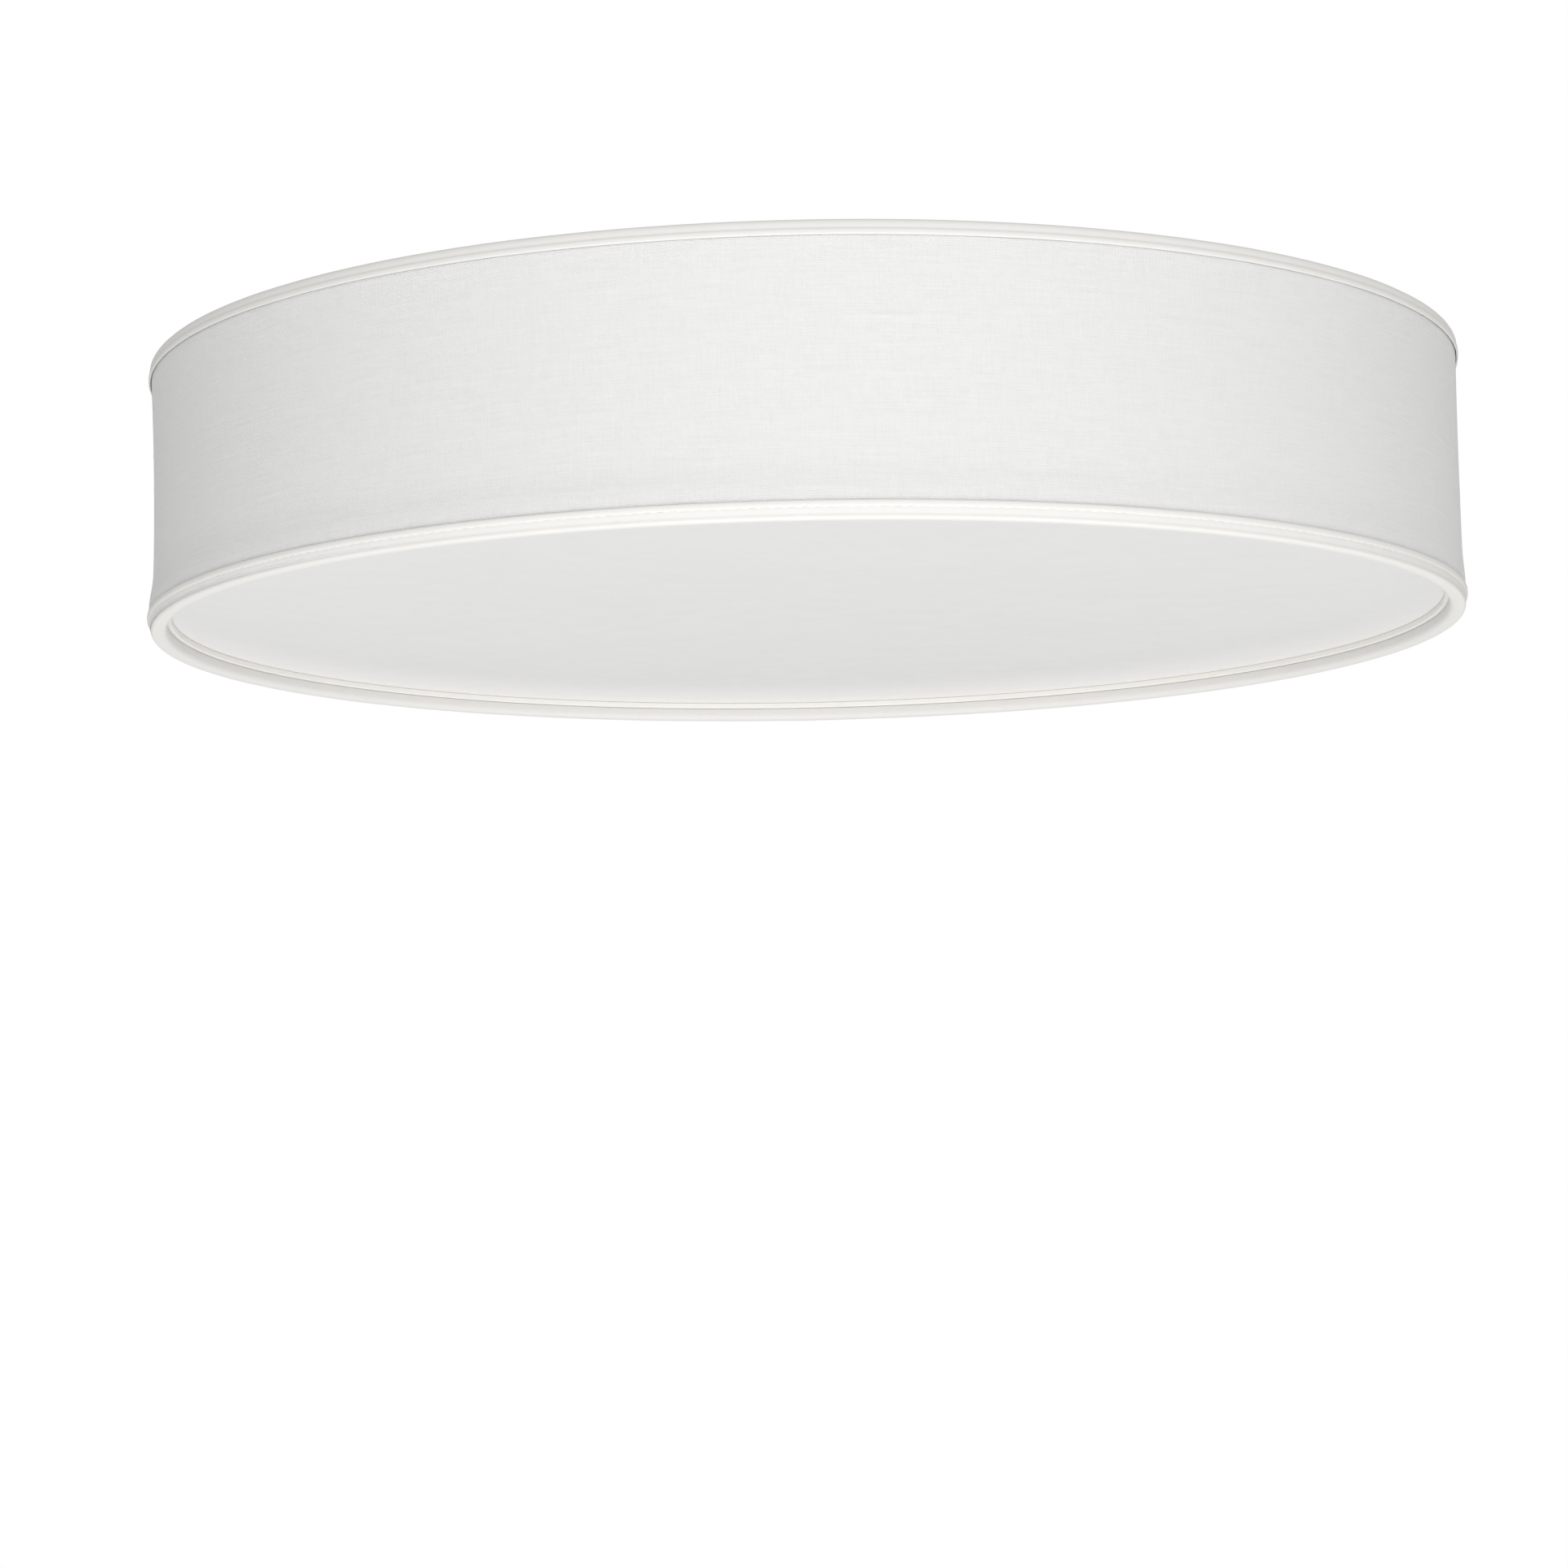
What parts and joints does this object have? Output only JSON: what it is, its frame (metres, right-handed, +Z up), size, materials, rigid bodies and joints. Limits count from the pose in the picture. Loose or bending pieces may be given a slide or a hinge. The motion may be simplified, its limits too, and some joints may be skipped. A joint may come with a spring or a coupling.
{
  "type": "flush mount ceiling light",
  "caption": "Round drum ceiling light: linen shade bound with tape, opal disc diffuser below, pan, spider and screw-cap lamps inside, hung close to the ceiling.",
  "frame": {"origin": "centre of the crossbar's upper face, on the ceiling plane", "axes": "+Z up into the ceiling, the light hangs below z = 0, the front faces -Y and the crossbar runs along X"},
  "size_m": [0.6096, 0.6096, 0.127],
  "materials": {
    "linen": "plain woven linen, off-white, with slubs",
    "binding_tape": "close woven tape, warm white, stitched",
    "styrene": "smooth white lampshade liner",
    "white_wire": "satin white powder coat",
    "acrylic": "satin white opal acrylic",
    "white_plastic": "matte white",
    "white_enamel": "gloss white powder coat",
    "zinc_steel": "zinc plated",
    "green_paint": "green",
    "nickel": "satin nickel plate",
    "black_nylon": "black nylon",
    "porcelain": "white glaze",
    "brass": "rolled brass",
    "black_glass": "black vitrite",
    "lamp_cap_metal": "nickel plated",
    "lamp_housing_plastic": "smooth white",
    "lamp_board_metal": "white solder mask with yellow chips",
    "opal_plastic": "opal polycarbonate"
  },
  "bodies": {
    "fixture": {"bottom_ring": "white_wire", "bottom_trim": "binding_tape", "bracket_1": "zinc_steel", "bracket_2": "zinc_steel", "bracket_3": "zinc_steel", "bracket_nuts": "zinc_steel", "bracket_screws": "zinc_steel", "crossbar": "zinc_steel", "crossbar_nut": "zinc_steel", "diffuser_seat": "white_plastic", "ground_screw": "green_paint", "lock_washer": "zinc_steel", "pan": "white_enamel", "pan_nut": "zinc_steel", "pan_washer": "zinc_steel", "screw_shell_1": "brass", "screw_shell_2": "brass", "screw_shell_3": "brass", "shade_fabric": "linen", "shade_liner": "styrene", "shade_nut": "nickel", "socket_body_1": "porcelain", "socket_body_2": "porcelain", "socket_body_3": "porcelain", "socket_contact_1": "brass", "socket_contact_2": "brass", "socket_contact_3": "brass", "socket_screws": "zinc_steel", "spider_arm_1": "white_wire", "spider_arm_2": "white_wire", "spider_arm_3": "white_wire", "spider_hub": "white_wire", "threaded_tube": "zinc_steel", "top_ring": "white_wire", "top_trim": "binding_tape", "wire_grommets": "black_nylon"},
    "diffuser": {"diffuser": "acrylic"},
    "lamp_1": {"lamp_board_1": "lamp_board_metal", "lamp_cap_1": "lamp_cap_metal", "lamp_globe_1": "opal_plastic", "lamp_housing_1": "lamp_housing_plastic", "lamp_insulator_1": "black_glass"},
    "lamp_2": {"lamp_board_2": "lamp_board_metal", "lamp_cap_2": "lamp_cap_metal", "lamp_globe_2": "opal_plastic", "lamp_housing_2": "lamp_housing_plastic", "lamp_insulator_2": "black_glass"},
    "lamp_3": {"lamp_board_3": "lamp_board_metal", "lamp_cap_3": "lamp_cap_metal", "lamp_globe_3": "opal_plastic", "lamp_housing_3": "lamp_housing_plastic", "lamp_insulator_3": "black_glass"},
    "lamp_foot_1": {"lamp_contact_1": "brass"},
    "lamp_foot_2": {"lamp_contact_2": "brass"},
    "lamp_foot_3": {"lamp_contact_3": "brass"}
  },
  "joints": [
    {"name": "diffuser_lift", "type": "slide", "parent": "fixture", "child": "diffuser", "axis": [0, 0, 1], "range_m": [0, 0.03]},
    {"name": "lamp_1_advance", "type": "slide", "parent": "fixture", "child": "lamp_foot_1", "axis": [1, 0, 0], "range_m": [0, 0.0218]},
    {"name": "lamp_1_turn", "type": "hinge", "parent": "lamp_foot_1", "child": "lamp_1", "pos_m": [0.085, 0, -0.05], "axis": [1, 0, 0], "range_deg": [0, 2160]},
    {"name": "lamp_2_advance", "type": "slide", "parent": "fixture", "child": "lamp_foot_2", "axis": [-0.5, 0.866, 0], "range_m": [0, 0.0218]},
    {"name": "lamp_2_turn", "type": "hinge", "parent": "lamp_foot_2", "child": "lamp_2", "pos_m": [-0.0425, 0.07361, -0.05], "axis": [-0.5, 0.866, 0], "range_deg": [0, 2160]},
    {"name": "lamp_3_advance", "type": "slide", "parent": "fixture", "child": "lamp_foot_3", "axis": [-0.5, -0.866, 0], "range_m": [0, 0.0218]},
    {"name": "lamp_3_turn", "type": "hinge", "parent": "lamp_foot_3", "child": "lamp_3", "pos_m": [-0.0425, -0.07361, -0.05], "axis": [-0.5, -0.866, 0], "range_deg": [0, 2160]}
  ],
  "couplings": [
    {"joint": "lamp_1_advance", "follows": "lamp_1_turn", "m_per_rad": 0.00057757},
    {"joint": "lamp_2_advance", "follows": "lamp_2_turn", "m_per_rad": 0.00057757},
    {"joint": "lamp_3_advance", "follows": "lamp_3_turn", "m_per_rad": 0.00057757}
  ]
}
